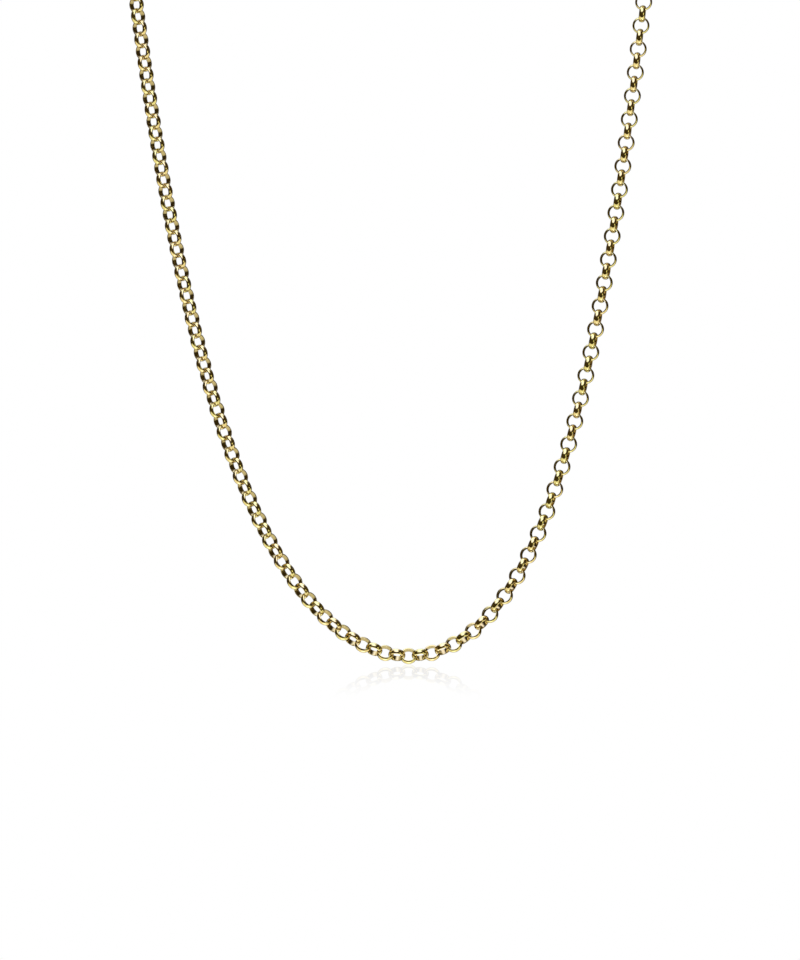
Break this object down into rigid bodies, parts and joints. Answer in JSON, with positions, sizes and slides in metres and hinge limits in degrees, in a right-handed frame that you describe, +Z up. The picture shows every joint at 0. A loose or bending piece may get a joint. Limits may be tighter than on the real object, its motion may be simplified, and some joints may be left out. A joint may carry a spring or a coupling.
{
  "type": "rolo neck chain",
  "caption": "Fine necklace of round linked rings in polished yellow metal, hanging as one open drape and closed at the nape by a small ring clasp.",
  "frame": {"origin": "inner side of the clasp's ring at the nape, where the chain rests on the back of the neck", "axes": "+Z up, -Y from the nape towards the front drape and the viewer, +X to the viewer's right"},
  "size_m": [0.102, 0.0829, 0.1562],
  "materials": {
    "gold": "polished yellow gold",
    "gold_clasp": "polished yellow gold"
  },
  "bodies": {
    "root": {"chain_left": "gold", "chain_right": "gold", "clasp": "gold_clasp"}
  },
  "joints": []
}
